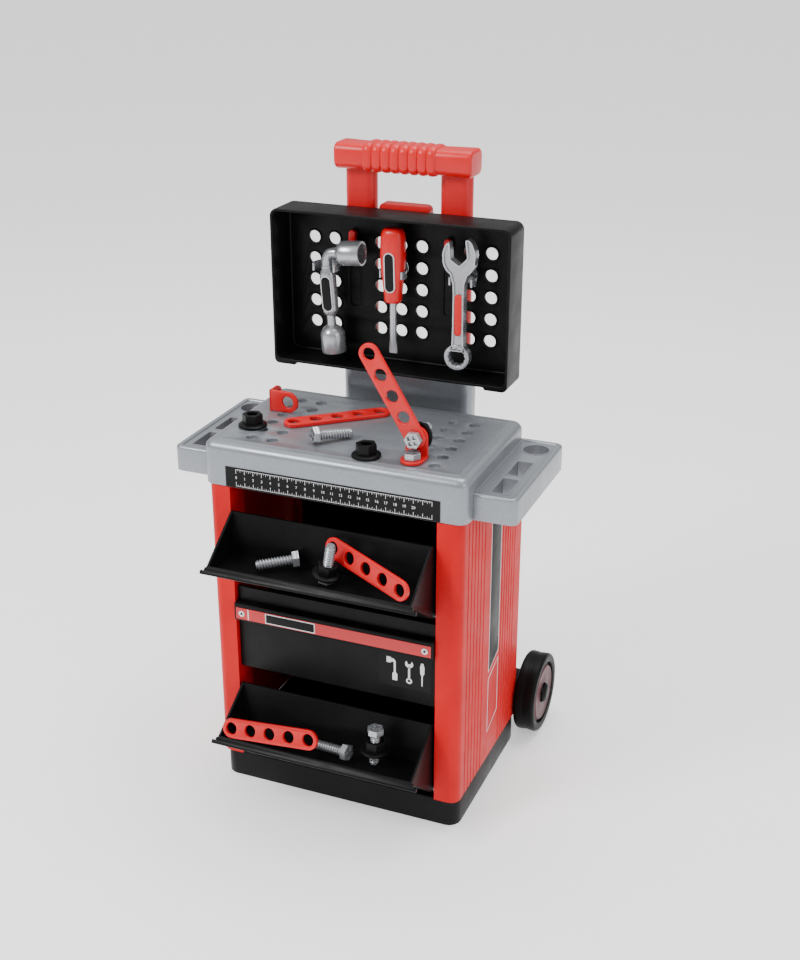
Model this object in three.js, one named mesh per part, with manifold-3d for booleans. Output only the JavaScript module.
// Toy tool bench: a red trolley cabinet with two tilting bins, a grey worktop with wings,
// a black peg panel carrying three toy tools, a telescoping pull handle and two rear wheels.
// Millimetres, +Z up, X to the right, Y to the back.
import * as THREE from "three";
import { mergeVertices } from "three/addons/utils/BufferGeometryUtils.js";
import Module from "manifold-3d";

const wasm = await Module();
wasm.setup();

// ---------------------------------------------------------------- driving dimensions
const GAP = 0.3; // clearance between pieces that sit against each other
const PITCH = 24; // hole pitch shared by peg panel, worktop and loose strips
const CENTRE_Y = 100.75; // middle of the overall depth, from the open upper bin to the back of the wheels

// cabinet
const CAB_X = 144, CAB_Y0 = -7, CAB_Y1 = 194, CAB_Z0 = 33.3, CAB_Z1 = 366.2;
const CAB_R = 12, SHELL = 3, BAY_X = 117; // corner radius, wall, half width of the front opening
const BASE_X = 142.5, BASE_Y0 = -3, BASE_Y1 = 199.5, BASE_H = 33;

// worktop
const TOP_X = 148, TOP_Y0 = -7, TOP_Y1 = 179, TOP_Z0 = 366.5, TOP_Z1 = 414.8, TOP_WALL = 3.5;
const WING_X = 193.6, WING_Y0 = 11.8, WING_Y1 = 177, WING_Z1 = 395;
const FIELD_COLUMNS = [-103, -79, 79, 103], FIELD_ROWS = 6, FIELD_Y0 = 21, SCREW_HOLE_R = 6.2;

// peg panel
const PANEL_X = 137, PANEL_Y0 = 144, PANEL_Y1 = 188.5, PANEL_Z0 = 458, PANEL_Z1 = 629.6, PANEL_WALL = 3;
const PEG_COLUMNS = [-103, -79, -24, 0, 24, 79, 103], PEG_ROWS = 5, PEG_Z0 = 496.5, PEG_R = 6.9;
const CLIP_X = 79, CLIP_Y = 162, CLIP_Z = 568.5, CLIP_R = 15;

// pull handle
const LEG_X = 55.15, LEG_W = 35.7, LEG_D = 20, LEG_Y = 207.5, LEG_Z0 = 245, GRIP_Z0 = 668.5, GRIP_Z1 = 697;
const COLLAR_Z0 = 602.5, COLLAR_Z1 = 614;

// tilting bins: profile in their own frame, hinge axis at the origin, drawn closed
const BIN_X = 114.5, BIN_WALL = 2.5, BIN_LIP_Z = 80, BIN_HINGE_Y = -1, ROD_R = 3;
// trough: height of its front edge, its bottom corner and its back edge
const BIN_FLOOR_Z = 65, BIN_CORNER = [20, 31], BIN_BACK = [61, 57];
const UPPER_HINGE_Z = 258, UPPER_OPEN = 54.5, LOWER_HINGE_Z = 44, LOWER_OPEN = 50.5; // heights, degrees

// wheels
const WHEEL_R = 48, WHEEL_X0 = 145.5, WHEEL_X1 = 171, AXLE_Y = 226, AXLE_R = 4;

// screws, nuts, strips and brackets of the toy set
const BOLT_R = 5.5, BOLT_LENGTH = 38, HEAD_R = 9.2, HEAD_H = 7, NUT_R = 15.5, NUT_H = 14;
const STRIP_W = 22, STRIP_T = 4.4, STRIP_HOLE_R = 6.7, STRIP_PITCH = PITCH * 1.01;
const BRACKET_W = 24, BRACKET_T = 3.4;
const TALL = 22.5; // height of the hole in a bracket's tall leg

// ---------------------------------------------------------------- colours
const finish = (color, roughness, metalness = 0) =>
  new THREE.MeshStandardMaterial({ color, roughness, metalness });
const RED = finish(0xd8262c, 0.38);
const BLACK = finish(0x17181b, 0.5);
const SILVER = finish(0x9aa0a8, 0.36, 0.35);
const CHROME = finish(0xb9bec6, 0.28, 0.7);
const LABEL_BLACK = finish(0x0d0d0f, 0.35);
const LABEL_RED = finish(0xc8323a, 0.4);
const STEEL = finish(0x8d9196, 0.3, 1);
const HUB = finish(0x5c3238, 0.5);

// ---------------------------------------------------------------- shape helpers
const X = new THREE.Vector3(1, 0, 0), Y = new THREE.Vector3(0, 1, 0), Z = new THREE.Vector3(0, 0, 1);
const polygon = (points) => new THREE.Shape(points.map(([u, v]) => new THREE.Vector2(u, v)));

function arc(cx, cy, r, from, to, steps) {
  return Array.from({ length: steps + 1 }, (_, i) => {
    const a = THREE.MathUtils.degToRad(from + ((to - from) * i) / steps);
    return [cx + r * Math.cos(a), cy + r * Math.sin(a)];
  });
}

function roundRect(x0, y0, x1, y1, r, steps = 4) {
  return polygon([
    ...arc(x1 - r, y0 + r, r, -90, 0, steps), ...arc(x1 - r, y1 - r, r, 0, 90, steps),
    ...arc(x0 + r, y1 - r, r, 90, 180, steps), ...arc(x0 + r, y0 + r, r, 180, 270, steps),
  ]);
}

const circle = (cx, cy, r, steps = 12) => polygon(arc(cx, cy, r, 0, 360, steps).slice(0, -1));

// extrude a plan (x, y) upward from z0, with an optional rounded upper edge
function slab(shape, z0, z1, round = 0) {
  const g = new THREE.ExtrudeGeometry(shape, {
    depth: z1 - z0 - round * 2, bevelEnabled: round > 0, bevelThickness: round, bevelSize: round,
    bevelOffset: -round, bevelSegments: 3, curveSegments: 6,
  });
  return g.translate(0, 0, z0 + round);
}

// extrude an elevation (x, z) along Y, and a side profile (y, z) along X
const alongY = (shape, y0, y1) => new THREE.ExtrudeGeometry(shape, { depth: y1 - y0, bevelEnabled: false })
  .applyMatrix4(new THREE.Matrix4().makeBasis(X, Z, Y.clone().negate())).translate(0, y1, 0);
const alongX = (shape, x0, x1) => new THREE.ExtrudeGeometry(shape, { depth: x1 - x0, bevelEnabled: false })
  .applyMatrix4(new THREE.Matrix4().makeBasis(Y, Z, X)).translate(x0, 0, 0);

const block = (x0, x1, y0, y1, z0, z1) => new THREE.BoxGeometry(x1 - x0, y1 - y0, z1 - z0)
  .translate((x0 + x1) / 2, (y0 + y1) / 2, (z0 + z1) / 2);

// surface of revolution about Z; the profile is a list of [radius, z] closed onto itself or onto the axis
const turned = (profile, steps) =>
  new THREE.LatheGeometry(profile.map(([r, z]) => new THREE.Vector2(r, z)), steps).rotateX(Math.PI / 2);

// ---------------------------------------------------------------- booleans
function toSolid(geometry) {
  if (geometry instanceof wasm.Manifold) return geometry;
  const bare = new THREE.BufferGeometry();
  bare.setAttribute("position", geometry.getAttribute("position").clone());
  if (geometry.index) bare.setIndex(geometry.index.clone());
  const merged = mergeVertices(bare, 1e-4);
  const tri = merged.index.array, keep = [];
  for (let i = 0; i < tri.length; i += 3) {
    const [a, b, c] = [tri[i], tri[i + 1], tri[i + 2]];
    if (a !== b && b !== c && a !== c) keep.push(a, b, c);
  }
  return new wasm.Manifold(new wasm.Mesh({
    numProp: 3,
    vertProperties: Float32Array.from(merged.attributes.position.array),
    triVerts: Uint32Array.from(keep),
  }));
}

function toGeometry(solid) {
  const mesh = solid.getMesh();
  const g = new THREE.BufferGeometry();
  g.setAttribute("position", new THREE.BufferAttribute(Float32Array.from(mesh.vertProperties), 3));
  g.setIndex(new THREE.BufferAttribute(Uint32Array.from(mesh.triVerts), 1));
  const flat = g.toNonIndexed();
  flat.computeVertexNormals();
  return flat;
}

const join = (...parts) => toGeometry(wasm.Manifold.union(parts.map(toSolid)));
const cut = (body, ...tools) => toGeometry(wasm.Manifold.difference([body, ...tools].map(toSolid)));

// ---------------------------------------------------------------- assembly
const bench = new THREE.Group();
bench.name = "toy_tool_bench";

function add(name, geometry, material) {
  const mesh = new THREE.Mesh(geometry, material);
  mesh.name = name;
  bench.add(mesh);
  return mesh;
}

// move a geometry so that its local axes follow the given frame at a point
function place(geometry, at, xAxis, zAxis) {
  const z = new THREE.Vector3(...zAxis).normalize();
  const y = z.clone().cross(new THREE.Vector3(...xAxis)).normalize();
  const x = y.clone().cross(z);
  return geometry.applyMatrix4(new THREE.Matrix4().makeBasis(x, y, z).setPosition(...at));
}

// ---------------------------------------------------------------- cabinet
const basePlan = (inset) =>
  roundRect(-BASE_X + inset, BASE_Y0 + inset, BASE_X - inset, BASE_Y1 - inset, 14 - inset);
const baseOuter = join(slab(basePlan(0), 0, BASE_H - 8), slab(basePlan(0), BASE_H - 16, BASE_H, 2));
add("base_skirt", cut(baseOuter, slab(basePlan(SHELL), -1, BASE_H - 4)), BLACK);

// plan of the right side shell: grooved outer wall, rounded front post with an inner return, rear flange
function sidePlan() {
  const outer = [[BAY_X, CAB_Y0], ...arc(CAB_X - CAB_R, CAB_Y0 + CAB_R, CAB_R, -90, 0, 5)];
  for (const y of [22, 34, 46, 58, 122, 134, 146, 158, 170]) {
    outer.push([CAB_X, y], [CAB_X - 1.2, y + 1], [CAB_X - 1.2, y + 3], [CAB_X, y + 4]);
  }
  outer.push([CAB_X, CAB_Y1], [CAB_X - 14, CAB_Y1]);
  outer.push([CAB_X - 14, CAB_Y1 - SHELL], [CAB_X - SHELL, CAB_Y1 - SHELL]);
  const inner = arc(CAB_X - CAB_R, CAB_Y0 + CAB_R, CAB_R - SHELL, 0, -90, 5);
  outer.push(...inner, [BAY_X + SHELL, CAB_Y0 + SHELL], [BAY_X + SHELL, 24], [BAY_X, 24]);
  return outer;
}
const rightPlan = sidePlan();
const leftPlan = rightPlan.map(([x, y]) => [-x, y]).reverse();
const rodHoles = (side) => [UPPER_HINGE_Z, LOWER_HINGE_Z].map((z) =>
  alongX(circle(BIN_HINGE_Y, z, ROD_R + GAP, 10), side * (BAY_X + SHELL / 2) - 3, side * (BAY_X + SHELL / 2) + 3));
add("side_shell_right", cut(slab(polygon(rightPlan), CAB_Z0, CAB_Z1), ...rodHoles(1)), RED);
add("side_shell_left", cut(slab(polygon(leftPlan), CAB_Z0, CAB_Z1), ...rodHoles(-1)), RED);

// rear wall with shallow upright ribs, set between the two rear flanges
const backPlan = [[-129.5, 187.5], [129.5, 187.5], [129.5, 190.5]];
for (let x = 96; x >= -96; x -= 32) {
  backPlan.push([x + 8, 190.5], [x + 6, 192.5], [x - 6, 192.5], [x - 8, 190.5]);
}
backPlan.push([-129.5, 190.5]);
add("cabinet_back", slab(polygon(backPlan), CAB_Z0, CAB_Z1), BLACK);
add("cabinet_shelf", block(-116.4, 116.4, 2.4, 187.2, 206, 209), BLACK);

// fixed front: recessed panel behind the bins and a thick cross bar over it
add("front_panel", block(-116.4, 116.4, -1.5, 2, 147, 247), BLACK);
add("cross_bar", alongX(roundRect(-11.4, 209.5, -1.8, 230.5, 1.6, 2), -116.4, 116.4), BLACK);
add("cross_bar_label", block(-113.9, 113.9, -12.2, -11.7, 212.5, 226), LABEL_RED);
add("front_panel_label", block(51, 111.5, -2.3, -1.8, 163.5, 206), LABEL_BLACK);

// ---------------------------------------------------------------- tilting bins
function binGeometry() {
  const [by, bz] = BIN_BACK, w = BIN_WALL, x = BIN_X, front = -5, foot = 7.5;
  const outer = polygon([[front, -8], [foot, -8], [foot, 9], [by + 2, bz - 2.4], [by, bz], [front, BIN_LIP_Z]]);
  const trough = polygon([
    [front + w, BIN_FLOOR_Z], BIN_CORNER, [by + 4.1, bz + 2.6], [by + 4.1, 120], [front + w, 120],
  ]);
  const [cy, cz] = BIN_CORNER;
  const under = polygon([[front + w, -9], [80, -9], [80, 66], [cy - 0.8, cz - 3.4], [front + w, BIN_FLOOR_Z - 4.6]]);
  const lip = alongX(roundRect(-12, BIN_LIP_Z - 3.6, front + 1, BIN_LIP_Z, 1.5, 3), -BAY_X + 0.7, BAY_X - 0.7);
  const ears = alongX(roundRect(-12, BIN_LIP_Z - 3.6, -7.5, BIN_LIP_Z, 1.5, 3), -120.5, 120.5);
  return cut(join(alongX(outer, -x, x), lip, ears), alongX(trough, -x + w, x - w), alongX(under, -x + w, x - w),
    alongX(circle(0, 0, ROD_R + GAP, 10), -x - 1, x + 1));
}
for (const [name, z, open] of [["upper", UPPER_HINGE_Z, UPPER_OPEN], ["lower", LOWER_HINGE_Z, LOWER_OPEN]]) {
  const swing = new THREE.Matrix4().makeRotationX(THREE.MathUtils.degToRad(open)).setPosition(0, BIN_HINGE_Y, z);
  add(`${name}_bin`, binGeometry().applyMatrix4(swing), BLACK);
  add(`${name}_bin_rod`, alongX(circle(BIN_HINGE_Y, z, ROD_R, 10), -119.5, 119.5), STEEL);
}

// ---------------------------------------------------------------- worktop
const TUBES = [[26, 64], [75, 113]]; // front and back ends of the rectangular tool holes in each wing
const WING_MID = 170.5, ROUND_Y = 150, ROUND_R = 14;
const topPlan = (inset) =>
  roundRect(-TOP_X + inset, TOP_Y0 + inset, TOP_X - inset, TOP_Y1 - inset, 12 - inset);

function wingTube(side, grow, z0) {
  const x = side * WING_MID;
  return [
    ...TUBES.map(([a, b]) =>
      slab(roundRect(x - 8.5 - grow, a - grow, x + 8.5 + grow, b + grow, 1.5 + grow, 2), z0, 400)),
    slab(circle(x, ROUND_Y, ROUND_R + grow, 16), z0, 400),
  ];
}
function wingPocket(side) {
  const [a, b] = [side * (TOP_X + 3), side * (WING_X - TOP_WALL)].sort((p, q) => p - q);
  const hollow = slab(roundRect(a, WING_Y0 + TOP_WALL, b, WING_Y1 - TOP_WALL, 4, 2), 360, WING_Z1 - TOP_WALL);
  return cut(hollow, ...wingTube(side, 2, 350));
}
const screwHoles = FIELD_COLUMNS.flatMap((x) => Array.from({ length: FIELD_ROWS }, (_, i) =>
  slab(circle(x, FIELD_Y0 + i * STRIP_PITCH, SCREW_HOLE_R, 10), 405, 420)));
const topOuter = join(slab(topPlan(0), TOP_Z0 - 10, TOP_Z1, 9),
  slab(roundRect(-WING_X, WING_Y0, WING_X, WING_Y1, 8), TOP_Z0 - 10, WING_Z1, 3));
const topHollow = slab(topPlan(TOP_WALL), 350, TOP_Z1 - TOP_WALL);
const topShell = cut(topOuter, block(-220, 220, -40, 220, 340, TOP_Z0), topHollow,
  wingPocket(1), wingPocket(-1), ...wingTube(1, 0, 350), ...wingTube(-1, 0, 350), ...screwHoles);
add("worktop", topShell, SILVER);
add("ruler_label", block(-120.5, 120.5, -7.8, -7.25, 367.4, 389.9), LABEL_BLACK);

// ---------------------------------------------------------------- pull handle
const ovalLeg = (x, grow) => roundRect(x - LEG_W / 2 - grow, LEG_Y - LEG_D / 2 - grow,
  x + LEG_W / 2 + grow, LEG_Y + LEG_D / 2 + grow, LEG_D / 2 + grow - 0.01, 4);
const legBores = (z0, z1) => [-1, 1].map((s) => slab(ovalLeg(s * LEG_X, 0.5), z0, z1));
add("handle_boot", cut(slab(roundRect(-77, 194.5, 77, 226, 11), TOP_Z0, 472), ...legBores(350, 480)), SILVER);
add("handle_channel", cut(slab(roundRect(-77, 194.5, 77, 224, 8), 110, TOP_Z0 - GAP), ...legBores(114, 380)), BLACK);
for (const [name, s] of [["left", -1], ["right", 1]]) {
  add(`handle_leg_${name}`, cut(slab(ovalLeg(s * LEG_X, 0), LEG_Z0, GRIP_Z0 - GAP),
    slab(ovalLeg(s * LEG_X, -2.6), LEG_Z0 - 1, GRIP_Z0)), RED);
}
const gripSection = (grow) => roundRect(183 - grow, GRIP_Z0 - grow, 220, GRIP_Z1 + grow, 10 + grow, 3);
const gripRibs = Array.from({ length: 8 }, (_, i) => alongX(gripSection(1.4), -43.5 + i * 10.4, -36.5 + i * 10.4));
const aboveLeg = block(-80, -37, 180, 225, 660, GRIP_Z0); // the ribs don't hang down over the left leg
add("handle_grip", cut(join(alongX(gripSection(0), -78.5, 78.5), ...gripRibs), aboveLeg), RED);

// black rear collar guiding the legs, with the red push tab in its middle slot
add("leg_collar", cut(slab(roundRect(-79, 188.9, 79, 223, 10), COLLAR_Z0, COLLAR_Z1), ...legBores(590, 620),
  block(-22.4, 22.4, 191.6, 206.4, 590, 620)), BLACK);
const tabFace = polygon([[-22, 603], [22, 603], [22, 619], [29, 619], ...arc(23, 628.5, 6, 0, 90, 4),
  ...arc(-23, 628.5, 6, 90, 180, 4), [-29, 619], [-22, 619]]);
add("release_tab", alongY(tabFace, 192, 206), RED);
add("panel_saddle", block(-60, 60, 188.9, 194.2, 462, 471.5), SILVER);

// ---------------------------------------------------------------- peg panel
const panelFace = (inset) =>
  roundRect(-PANEL_X + inset, PANEL_Z0 + inset, PANEL_X - inset, PANEL_Z1 - inset, 9 - inset);
const feet = [-124.5, 124.5].map((x) =>
  alongY(roundRect(x - 12.5, 455, x + 12.5, 466, 3, 2), PANEL_Y0, PANEL_Y1));
const pegs = PEG_COLUMNS.flatMap((x) => Array.from({ length: PEG_ROWS }, (_, i) =>
  alongY(circle(x, PEG_Z0 + i * PITCH, PEG_R, 12), 180, 195)));
const slots = [-1, 1].map((s) => alongY(roundRect(s * 55.5 - 6, 519, s * 55.5 + 6, 571, 4, 2), 180, 187));
const panelTray = cut(join(alongY(panelFace(0), PANEL_Y0, PANEL_Y1), ...feet),
  alongY(panelFace(PANEL_WALL), PANEL_Y0 - 5, PANEL_Y1 - PANEL_WALL), ...pegs, ...slots);
add("peg_panel", panelTray, BLACK);
for (const [name, s] of [["left", -1], ["right", 1]]) {
  add(`peg_${name}`, alongY(roundRect(s * 55.5 - 4, 590, s * 55.5 + 4, 605, 3.9, 4), 178.4, 185.2), RED);
}

// spring clips: an open ring on a stem pushed through a panel hole
function clipGeometry(x) {
  const outside = arc(x, CLIP_Y, CLIP_R, -28, 208, 14), inside = arc(x, CLIP_Y, CLIP_R - 2.6, 208, -28, 14);
  const ring = polygon([...outside, ...inside]);
  return join(slab(ring, CLIP_Z - 6, CLIP_Z + 2.6), alongY(circle(x, CLIP_Z, 4.6, 10), 175.5, 190.4),
    alongY(circle(x, CLIP_Z, 9.5, 12), 182.5, 185.2));
}
for (const [name, x] of [["left", -CLIP_X], ["middle", 0], ["right", CLIP_X]]) {
  add(`clip_${name}`, clipGeometry(x), CHROME);
}

// ---------------------------------------------------------------- hanging tools
const loft = (sections, shapeAt, steps) => { // closed body through horizontal sections
  const rings = sections.map((s) => shapeAt(s, steps));
  const n = rings[0].length, pos = rings.flat(2), index = [];
  for (let k = 0; k + 1 < rings.length; k++) {
    for (let i = 0; i < n; i++) {
      const a = k * n + i, b = k * n + ((i + 1) % n), c = a + n, d = b + n;
      index.push(a, b, d, a, d, c);
    }
  }
  const last = (rings.length - 1) * n;
  for (let i = 1; i + 1 < n; i++) index.push(0, i + 1, i, last, last + i, last + i + 1);
  const g = new THREE.BufferGeometry();
  g.setAttribute("position", new THREE.Float32BufferAttribute(pos, 3));
  g.setIndex(index);
  return g;
};
const squarish = (v) => Math.sign(v) * Math.abs(v) ** 0.8;
const ellipseRing = ([z, a, b], steps) => Array.from({ length: steps }, (_, i) => {
  const t = (2 * Math.PI * i) / steps;
  return [a * squarish(Math.cos(t)), b * squarish(Math.sin(t)), z];
});

// socket wrench: grip with a lower socket, bent neck and a side socket; tilted a little in its clip
const socketSide = turned([[0, 6], [6, 6], [10, 9], [13.2, 14], [13.6, 37], [10.4, 37], [10.4, 20], [0, 20]], 16)
  .applyMatrix4(new THREE.Matrix4().makeBasis(Z.clone().negate(), Y, X)).translate(6, 0, 13.5);
const socketLow = turned([
  [0, -84], [10.4, -84], [10.4, -98], [13.6, -98], [12.5, -79], [7.5, -72], [5.6, -67], [0, -67],
], 16);
const bend = new THREE.CurvePath();
const [foot, rise, corner, level, tip] = [[0, -10], [0, 2], [0, 13.5], [10, 13.5], [14, 13.5]]
  .map(([x, z]) => new THREE.Vector3(x, 0, z));
bend.add(new THREE.LineCurve3(foot, rise));
bend.add(new THREE.QuadraticBezierCurve3(rise, corner, level));
bend.add(new THREE.LineCurve3(level, tip));
const neck = new THREE.ExtrudeGeometry(circle(0, 0, 5.8, 12), { extrudePath: bend, steps: 12, bevelEnabled: false });
const wrenchGrip = loft([
  [-70, 6, 5.5], [-67, 7.5, 6.5], [-40, 8.8, 7.2], [-12, 10.6, 8], [-6, 9.6, 7.4], [-3, 6.4, 6],
], ellipseRing, 16);
const socketWrench = join(neck, wrenchGrip, socketSide, socketLow).rotateY(THREE.MathUtils.degToRad(-4));
add("socket_wrench", socketWrench.translate(-78, CLIP_Y, CLIP_Z), CHROME);

// screwdriver: waisted handle and a flat-tipped blade
const SD_Y = 161.5;
add("screwdriver_handle", loft([[536, 7, 7], [537.5, 9.6, 9], [561, 10.2, 9.8], [575, 11, 10.4], [597, 13.4, 12],
  [609, 13.2, 11.6], [614.5, 11.6, 10], [616.5, 8, 7]], ellipseRing, 18).translate(0.3, SD_Y, 0), RED);
const blade = join(slab(circle(0, 0, 3.8, 12), 492, 535.7),
  loft([[478, 4.6, 1], [483, 4.8, 1.4], [494, 3.6, 3.2]], ellipseRing, 12));
add("screwdriver_blade", blade.translate(0.3, SD_Y, 0), CHROME);

// combination wrench in the elevation plane: open jaw on top, ring below, red inlay on the shank
const WR_X = 77, WR_Z = 589.8, WR_T = [154.5, 165.5];
const jaw = polygon([
  ...arc(0, 0, 18, -155, -25, 8), [18.5, 6], [13, 21], [7.5, 22.5], [9.5, 3],
  [0.5, -5.5], [-9.5, 1], [-10.5, 18.5], [-15, 15.5], [-18.5, 4],
]);
const shank = polygon([[-7.4, -16], [-5.6, -36], [-6.2, -97], [6.2, -97], [5.6, -36], [7.4, -16]]);
const wrenchBody = join(alongY(jaw, ...WR_T), alongY(shank, WR_T[0] + 0.6, WR_T[1] - 0.6),
  alongY(circle(-1, -106, 14.2, 18), ...WR_T));
const ringHole = alongY(circle(-1, -106, 9.2, 12), 150, 170);
const inlaySeat = alongY(roundRect(-4.4, -82, 4.4, -36, 4.3, 3), 150, WR_T[0] + 2.1);
const inlay = alongY(roundRect(-4, -81.6, 4, -36.4, 3.9, 3), WR_T[0] + 0.2, WR_T[0] + 1.8);
add("wrench", cut(wrenchBody, ringHole, inlaySeat).translate(WR_X, 0, WR_Z), CHROME);
add("wrench_inlay", inlay.translate(WR_X, 0, WR_Z), RED);

// ---------------------------------------------------------------- axle and wheels
add("axle_housing", cut(alongX(roundRect(199.8, 26, 240, 70, 10, 4), -138, 138),
  alongX(circle(AXLE_Y, WHEEL_R, AXLE_R + GAP, 12), -150, 150)), BLACK);
add("axle", alongX(circle(AXLE_Y, WHEEL_R, AXLE_R, 12), -170, 170), STEEL);
const wheelAxis = (s) => new THREE.Matrix4()
  .makeBasis(Z.clone().multiplyScalar(-s), Y, X.clone().multiplyScalar(s))
  .setPosition(0, AXLE_Y, WHEEL_R);
const TYRE = [
  [4.4, WHEEL_X0], [14, WHEEL_X0], [14, WHEEL_X0 + 5], [40, WHEEL_X0 + 5], [41, WHEEL_X0 + 1],
  [45, WHEEL_X0], [WHEEL_R, WHEEL_X0 + 3], [WHEEL_R, WHEEL_X1 - 3], [45, WHEEL_X1],
  [39, WHEEL_X1 - 0.5], [37, WHEEL_X1 - 4.5], [4.4, WHEEL_X1 - 4.5], [4.4, WHEEL_X0],
];
const RING = [
  [12.4, WHEEL_X1 - 4.2], [34, WHEEL_X1 - 4.2], [33, WHEEL_X1 - 1], [16, WHEEL_X1 - 2.2],
  [12.4, WHEEL_X1 - 2.2], [12.4, WHEEL_X1 - 4.2],
];
const CAP = [[0, 0.3], [11, 0.3], [11.6, 2], [9, 4.2], [0, 5]];
for (const [name, s] of [["left", -1], ["right", 1]]) {
  add(`wheel_${name}`, turned(TYRE, 28).applyMatrix4(wheelAxis(s)), BLACK);
  add(`wheel_disc_${name}`, turned(RING, 24).applyMatrix4(wheelAxis(s)), HUB);
  const cap = turned(CAP.map(([r, z]) => [r, z + WHEEL_X1 - 0.8]), 16);
  add(`wheel_cap_${name}`, cap.applyMatrix4(wheelAxis(s)), BLACK);
}

// ---------------------------------------------------------------- screws, nuts, strips, brackets
// a bolt stands on the underside of its head: head above z = 0, shank below
const hexagon = (r) => polygon(arc(0, 0, r, 0, 360, 6).slice(0, -1));
const bolt = (length = BOLT_LENGTH) =>
  join(slab(hexagon(HEAD_R), 0, HEAD_H, 0.8), slab(circle(0, 0, BOLT_R, 12), -length, 1));
const nut = () => cut(join(slab(circle(0, 0, NUT_R, 16), 0, 4), slab(hexagon(10.6), 2, NUT_H, 0.8)),
  slab(circle(0, 0, BOLT_R + GAP, 12), -1, NUT_H + 1));
// a strip lies flat with its first hole at the origin and the others along +X
function strip() {
  const r = STRIP_W / 2, end = 4 * STRIP_PITCH;
  const plan = polygon([...arc(0, 0, r, 90, 270, 8), ...arc(end, 0, r, -90, 90, 8)]);
  plan.holes = Array.from({ length: 5 }, (_, i) => {
    const edge = arc(i * STRIP_PITCH, 0, STRIP_HOLE_R, 360, 0, 12).slice(0, -1);
    return new THREE.Path(edge.map(([u, v]) => new THREE.Vector2(u, v)));
  });
  return slab(plan, 0, STRIP_T);
}
// a bracket: short leg flat in XY toward -Y, tall leg upright in XZ, both with rounded ends and one hole
function bracket() {
  const r = BRACKET_W / 2, t = BRACKET_T;
  const flat = polygon([...arc(0, 0, r, 180, 360, 8), [r, 15], [-r, 15]]);
  const tall = polygon([[-r, 0], [r, 0], ...arc(0, TALL, r, 0, 180, 8)]);
  return cut(join(slab(flat, 0, t), alongY(tall, 15 - t, 15)), slab(circle(0, 0, STRIP_HOLE_R, 12), -5, 5),
    alongY(circle(0, TALL, STRIP_HOLE_R, 12), 0, 30));
}

const DECK = TOP_Z1 + GAP;
const BENCH_BOLT = [79, FIELD_Y0];
// bracket bolted to the worktop with an upright strip pinned to its tall leg
add("bracket_bolted", bracket().translate(...BENCH_BOLT, DECK), RED);
add("bench_bolt", bolt(40).translate(...BENCH_BOLT, DECK + BRACKET_T + GAP), CHROME);
const pivot = [BENCH_BOLT[0], BENCH_BOLT[1] + 15 - BRACKET_T - GAP, DECK + TALL];
add("strip_upright", place(strip(), pivot, [-12.4, 0, 20.6], [0, -1, 0]), RED);
const pinHead = [pivot[0], pivot[1] - STRIP_T - GAP, pivot[2]];
add("strip_bolt", place(bolt(), pinHead, [1, 0, 0], [0, -1, 0]), CHROME);
add("strip_nut", place(nut(), [pivot[0], BENCH_BOLT[1] + 15 + GAP, pivot[2]], [1, 0, 0], [0, 1, 0]), BLACK);

// pieces lying on the worktop
add("strip_flat", place(strip(), [-77.5, 70, DECK], [18.4, 15.85, 0], [0, 0, 1]), RED);
add("bracket_loose", place(bracket(), [-118.6 - 3.4, 114, DECK + 12], [0, 0, 1], [1, 0, 0]), RED);
add("loose_bolt_top", place(bolt(), [-30, 31, DECK + HEAD_R + 0.1], [0, 0, 1], [-33, -35, 4.6]), CHROME);
add("loose_nut_left", nut().rotateZ(0.3).translate(-117, 50, DECK), BLACK);
add("loose_nut_front", nut().rotateZ(0.1).translate(30, 18, DECK), BLACK);

// pieces lying in the open bins; a standing bolt carries its nut part-way along the shank
add("strip_upper_bin", place(strip(), [11.8, -21.4, 325.6], [85.5, -36, -12.6], [-0.33, -0.85, 0.2]), RED);
add("lying_bolt_upper_bin", place(bolt(), [-36, -26, 305], [0, 0, 1], [32, 20, 3.5]), CHROME);
add("strip_lower_bin", place(strip(), [-100, -55.9, 101.3], [95.8, 8.4, 8.4], [-0.1, -0.95, 0.28]), RED);
add("lying_bolt_lower_bin", place(bolt(), [27, -44, 95.5], [0, 0, 1], [30, -6, 3.5]), CHROME);
function standingBolt(bin, at, head, nutAt, nutUp) {
  const axis = new THREE.Vector3(...head).normalize();
  const seat = axis.clone().multiplyScalar(nutAt).add(new THREE.Vector3(...at));
  add(`standing_bolt_${bin}_bin`, place(bolt(), at, [1, 0, 0], head), CHROME);
  const up = axis.multiplyScalar(nutUp).toArray();
  add(`standing_nut_${bin}_bin`, place(nut(), seat.toArray(), [1, 0, 0], up), BLACK);
}
standingBolt("upper", [9.6, -39.9, 302.5], [-0.2, 0.1, -0.97], -0.4, -1);
standingBolt("lower", [61, -36, 122], [0.05, 0, 1], -22, 1);

// the origin sits on the floor under the middle of the overall box
bench.position.y = -CENTRE_Y;

export default bench;
